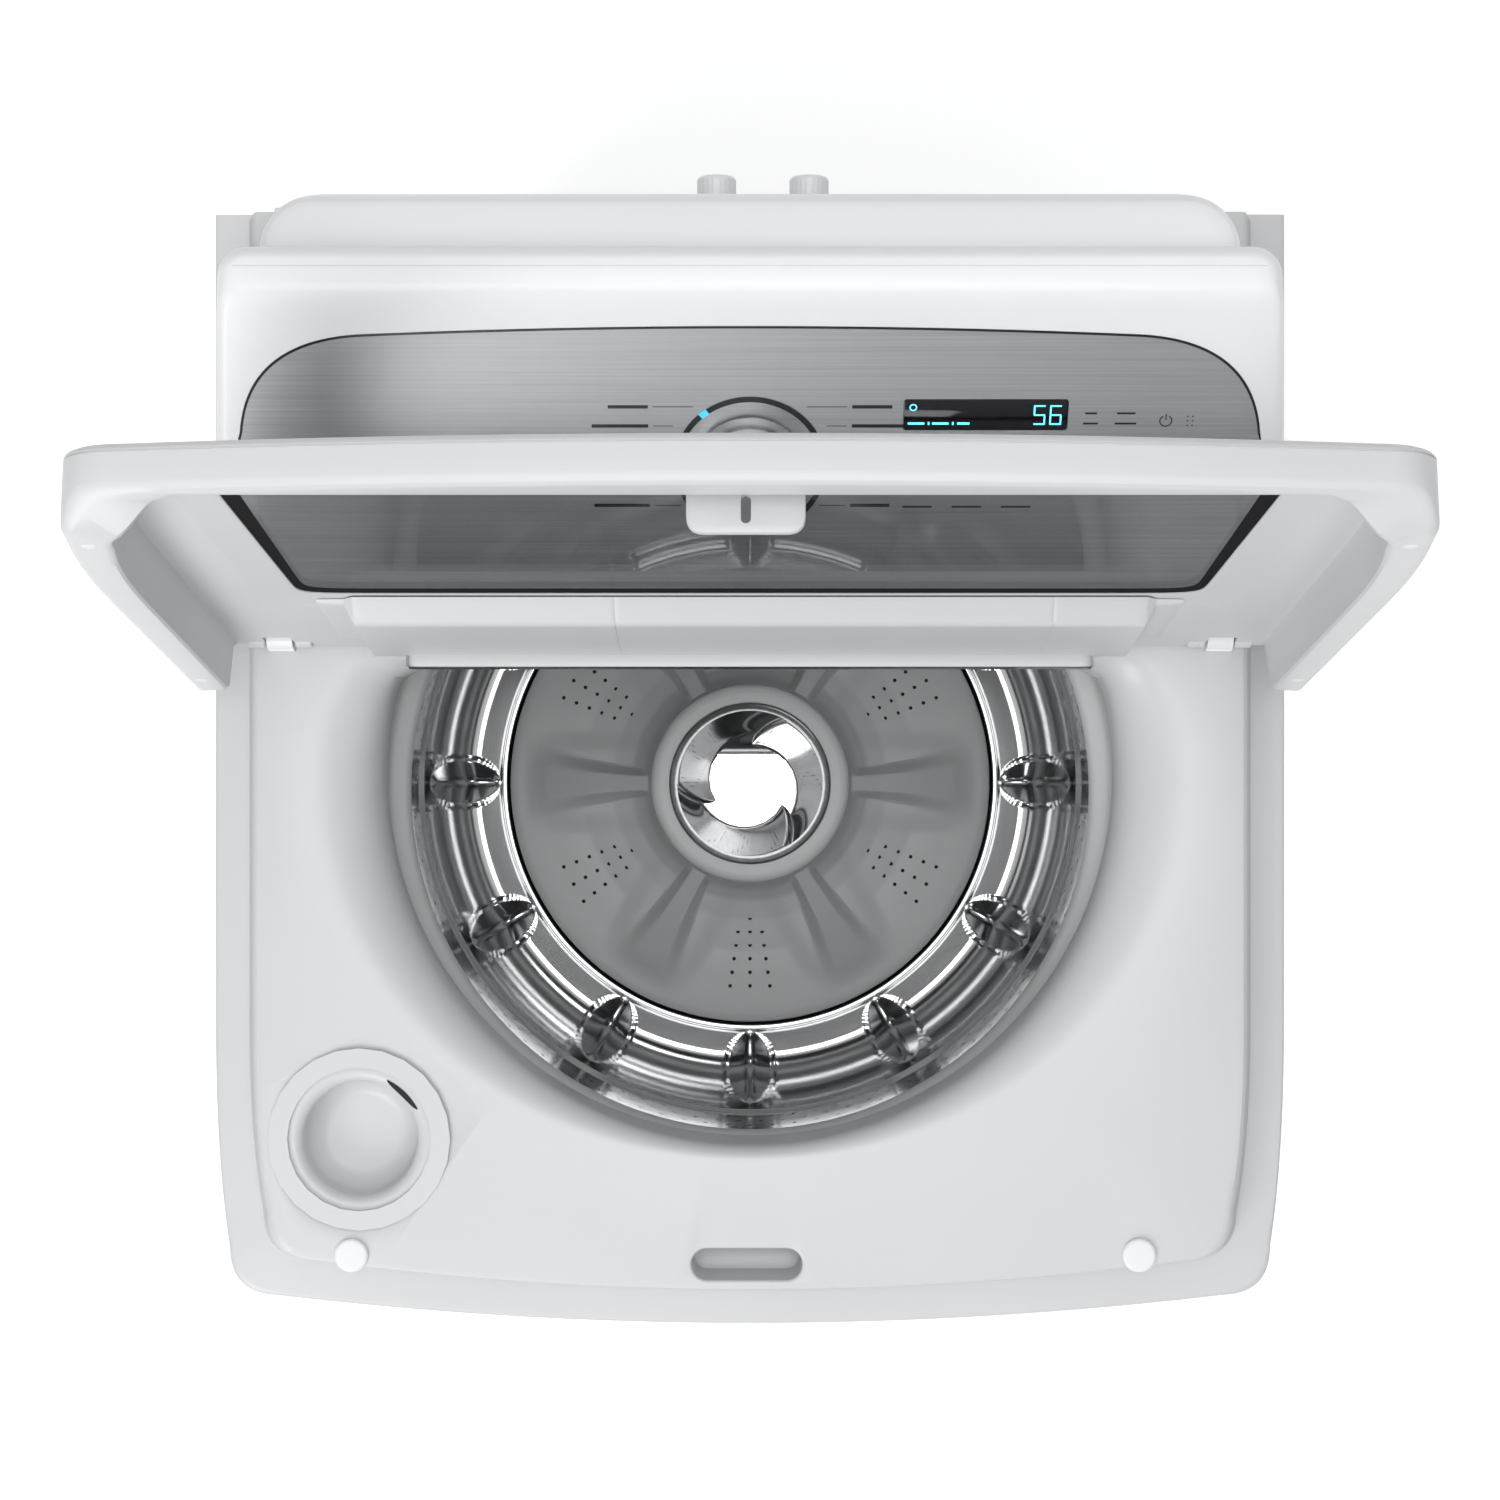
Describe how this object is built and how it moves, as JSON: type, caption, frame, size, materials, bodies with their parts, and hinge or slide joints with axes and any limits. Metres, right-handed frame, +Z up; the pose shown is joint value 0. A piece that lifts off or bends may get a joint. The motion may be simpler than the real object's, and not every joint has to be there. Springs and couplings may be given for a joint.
{
  "type": "top load washing machine",
  "caption": "Free-standing top load washing machine with a lifting glass lid, sloping rear control console and polished steel basket.",
  "frame": {"origin": "on the floor under the middle of the machine's box, with the lid open", "axes": "+Z up, front of the machine towards -Y, its left side as seen from the front towards -X"},
  "size_m": [0.686, 0.746, 1.4442],
  "materials": {
    "white_enamel": "baked gloss enamel on folded sheet steel",
    "white_plastic": "satin white moulded plastic",
    "grey_plastic": "satin mid grey moulded plastic",
    "pale_plastic": "pale grey moulded plastic",
    "dark_plastic": "black moulded plastic",
    "brushed_panel": "grey panel with a fine grain across its width",
    "polished_steel": "polished stainless steel",
    "chrome": "bright chrome plate",
    "plain_steel": "bright drawn steel",
    "galvanised_steel": "galvanised steel",
    "cast_alloy": "as-cast alloy",
    "copper_winding": "varnished copper wire",
    "tinted_glass": "clear tempered glass, slightly tinted",
    "display_glass": "black glass with pale blue digits",
    "circuit_board": "lacquered circuit board",
    "rubber": "matt rubber"
  },
  "bodies": {
    "cabinet": {"cabinet_shell": "white_enamel", "base_frame": "galvanised_steel", "rear_panel": "white_enamel", "top_cover": "white_plastic", "bleach_cup": "white_plastic", "bumper_left": "pale_plastic", "bumper_right": "pale_plastic", "lid_lock_housing": "dark_plastic", "console_housing": "white_plastic", "console_rear_cover": "white_plastic", "control_panel": "brushed_panel", "display_window": "display_glass", "control_board": "circuit_board", "inlet_valve": "dark_plastic", "inlet_cap_left": "white_plastic", "inlet_cap_right": "white_plastic", "fill_spout": "white_plastic", "cord_gland": "rubber", "drain_outlet": "grey_plastic", "hose_hook_left": "white_plastic", "hose_hook_right": "white_plastic", "hinge_bracket_left": "grey_plastic", "hinge_bracket_right": "grey_plastic", "suspension_rod_front_left": "plain_steel", "suspension_rod_front_right": "plain_steel", "suspension_rod_rear_left": "plain_steel", "suspension_rod_rear_right": "plain_steel"},
    "lid": {"lid_shell": "white_plastic", "lid_glass": "tinted_glass", "lid_inner_frame": "white_plastic", "lid_latch_tab": "white_plastic", "hinge_pin_left": "plain_steel", "hinge_pin_right": "plain_steel"},
    "tub": {"outer_tub": "pale_plastic", "tub_ring": "pale_plastic", "bearing_housing": "cast_alloy", "motor_stator": "copper_winding", "drain_pump": "dark_plastic", "suspension_spring_front_left": "plain_steel", "suspension_spring_front_right": "plain_steel", "suspension_spring_rear_left": "plain_steel", "suspension_spring_rear_right": "plain_steel"},
    "basket": {"basket_wall": "polished_steel", "basket_base": "polished_steel", "balance_ring": "grey_plastic", "spin_tube": "plain_steel"},
    "wash_drive": {"pulsator": "grey_plastic", "pulsator_cap": "chrome", "wash_shaft": "plain_steel", "motor_rotor": "cast_alloy"},
    "knob": {"cycle_knob": "chrome"},
    "start": {"start_button": "pale_plastic"},
    "option_1": {"option_key_1": "pale_plastic"},
    "option_2": {"option_key_2": "pale_plastic"},
    "option_3": {"option_key_3": "pale_plastic"},
    "bolt": {"lock_bolt": "plain_steel"},
    "foot_front_left": {"foot_front_left": "rubber"},
    "foot_front_right": {"foot_front_right": "rubber"},
    "foot_rear_left": {"foot_rear_left": "rubber"},
    "foot_rear_right": {"foot_rear_right": "rubber"}
  },
  "joints": [
    {"name": "lid_hinge", "type": "hinge", "parent": "cabinet", "child": "lid", "pos_m": [0, 0.066, 1.008], "axis": [1, 0, 0], "range_deg": [0, 100]},
    {"name": "tub_bounce", "type": "slide", "parent": "cabinet", "child": "tub", "axis": [0, 0, 1], "range_m": [-0.015, 0.015], "stiffness_N_per_m": 9000, "springref_m": 0.01988, "deforming": ["suspension_spring_front_left", "suspension_spring_front_right", "suspension_spring_rear_left", "suspension_spring_rear_right"]},
    {"name": "basket_spin", "type": "hinge", "parent": "tub", "child": "basket", "pos_m": [0, -0.032, 0.4], "axis": [0, 0, 1], "continuous": true},
    {"name": "pulsator_spin", "type": "hinge", "parent": "tub", "child": "wash_drive", "pos_m": [0, -0.032, 0.4], "axis": [0, 0, 1], "continuous": true},
    {"name": "knob_turn", "type": "hinge", "parent": "cabinet", "child": "knob", "pos_m": [0, 0.1672, 1.0688], "axis": [0, -0.5547, 0.8321], "continuous": true},
    {"name": "start_press", "type": "slide", "parent": "cabinet", "child": "start", "axis": [0, 0.5547, -0.8321], "range_m": [0, 0.0015], "stiffness_N_per_m": 400, "springref_m": -0.002},
    {"name": "option_1_press", "type": "slide", "parent": "cabinet", "child": "option_1", "axis": [0, 0.5547, -0.8321], "range_m": [0, 0.0015], "stiffness_N_per_m": 400, "springref_m": -0.002},
    {"name": "option_2_press", "type": "slide", "parent": "cabinet", "child": "option_2", "axis": [0, 0.5547, -0.8321], "range_m": [0, 0.0015], "stiffness_N_per_m": 400, "springref_m": -0.002},
    {"name": "option_3_press", "type": "slide", "parent": "cabinet", "child": "option_3", "axis": [0, 0.5547, -0.8321], "range_m": [0, 0.0015], "stiffness_N_per_m": 400, "springref_m": -0.002},
    {"name": "bolt_slide", "type": "slide", "parent": "cabinet", "child": "bolt", "axis": [0, -1, 0], "range_m": [0, 0.013]},
    {"name": "foot_front_left_screw", "type": "slide", "parent": "cabinet", "child": "foot_front_left", "axis": [0, 0, -1], "range_m": [0, 0.012]},
    {"name": "foot_front_right_screw", "type": "slide", "parent": "cabinet", "child": "foot_front_right", "axis": [0, 0, -1], "range_m": [0, 0.012]},
    {"name": "foot_rear_left_screw", "type": "slide", "parent": "cabinet", "child": "foot_rear_left", "axis": [0, 0, -1], "range_m": [0, 0.012]},
    {"name": "foot_rear_right_screw", "type": "slide", "parent": "cabinet", "child": "foot_rear_right", "axis": [0, 0, -1], "range_m": [0, 0.012]}
  ]
}
